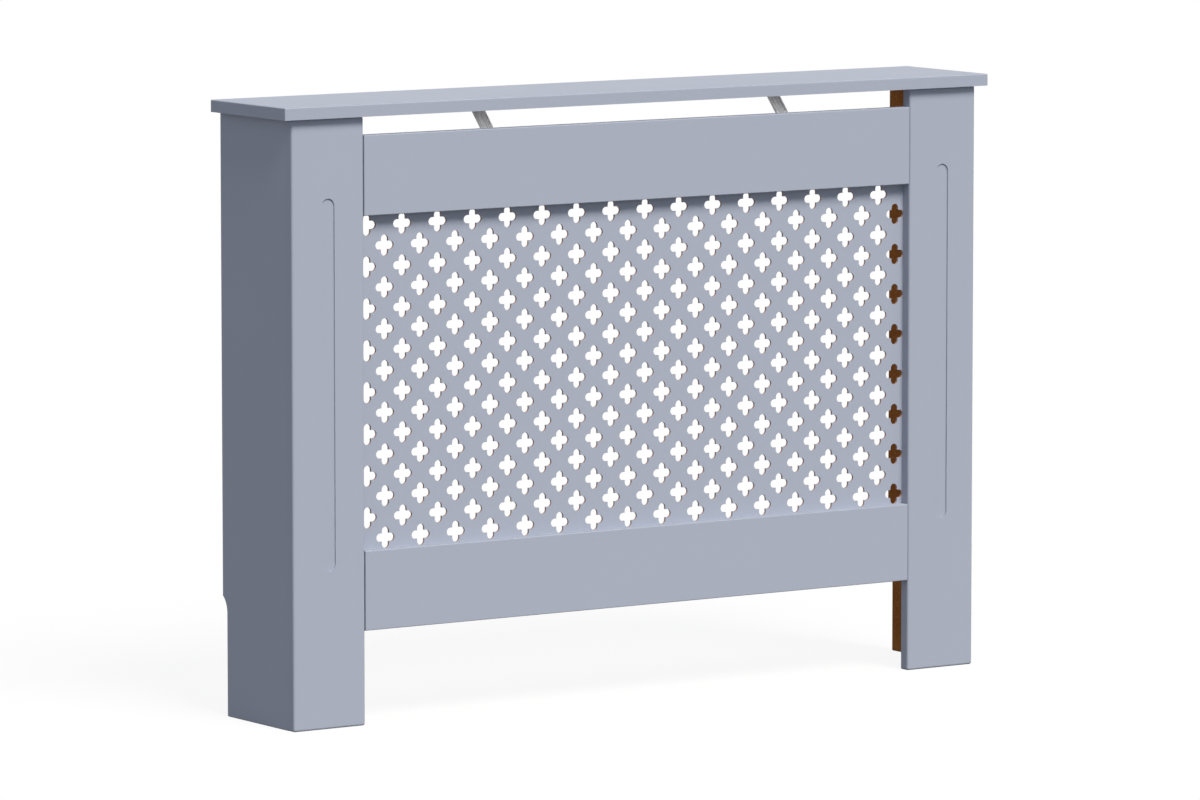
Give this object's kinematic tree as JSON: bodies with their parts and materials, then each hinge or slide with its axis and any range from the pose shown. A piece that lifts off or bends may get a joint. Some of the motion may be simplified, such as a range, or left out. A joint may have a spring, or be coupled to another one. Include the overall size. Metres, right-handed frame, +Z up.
{
  "type": "radiator cover cabinet",
  "caption": "Free-standing radiator cover: shelf top, two fluted uprights with sides, plain cross rails and a panel pierced with four-lobed holes, open at the back and the bottom.",
  "frame": {"origin": "on the floor, under the middle of the bounding box (the middle of the top board)", "axes": "+X along the cover to the right seen from the room, +Y from the room to the wall, +Z up"},
  "size_m": [1.12, 0.185, 0.809],
  "materials": {
    "painted_mdf": "satin blue-grey paint on MDF, raw brown MDF on inner faces",
    "grille_sheet": "satin blue-grey paint on thin hardboard, raw brown hole walls and back",
    "softwood": "planed pine",
    "beech": "plain beech dowel",
    "pressed_steel": "zinc-plated pressed steel",
    "screw_steel": "zinc-plated screw",
    "block_plastic": "moulded off-white plastic"
  },
  "bodies": {
    "root": {"top_board": "painted_mdf", "left_side_panel": "painted_mdf", "right_side_panel": "painted_mdf", "left_stile": "painted_mdf", "right_stile": "painted_mdf", "upper_rail": "painted_mdf", "lower_rail": "painted_mdf", "grille_panel": "grille_sheet", "left_stay": "pressed_steel", "right_stay": "pressed_steel", "left_corner_batten": "softwood", "right_corner_batten": "softwood", "upper_left_joint_plate": "pressed_steel", "upper_right_joint_plate": "pressed_steel", "lower_left_joint_plate": "pressed_steel", "lower_right_joint_plate": "pressed_steel", "left_top_block": "block_plastic", "right_top_block": "block_plastic", "left_wall_bracket": "pressed_steel", "right_wall_bracket": "pressed_steel", "stay_rail_screws": "screw_steel", "stay_top_screws": "screw_steel", "batten_stile_screws": "screw_steel", "batten_side_screws": "screw_steel", "joint_plate_screws": "screw_steel", "top_block_screws": "screw_steel", "wall_bracket_screws": "screw_steel", "grille_screws": "screw_steel", "rail_dowels": "beech", "top_dowels": "beech"}
  },
  "joints": []
}
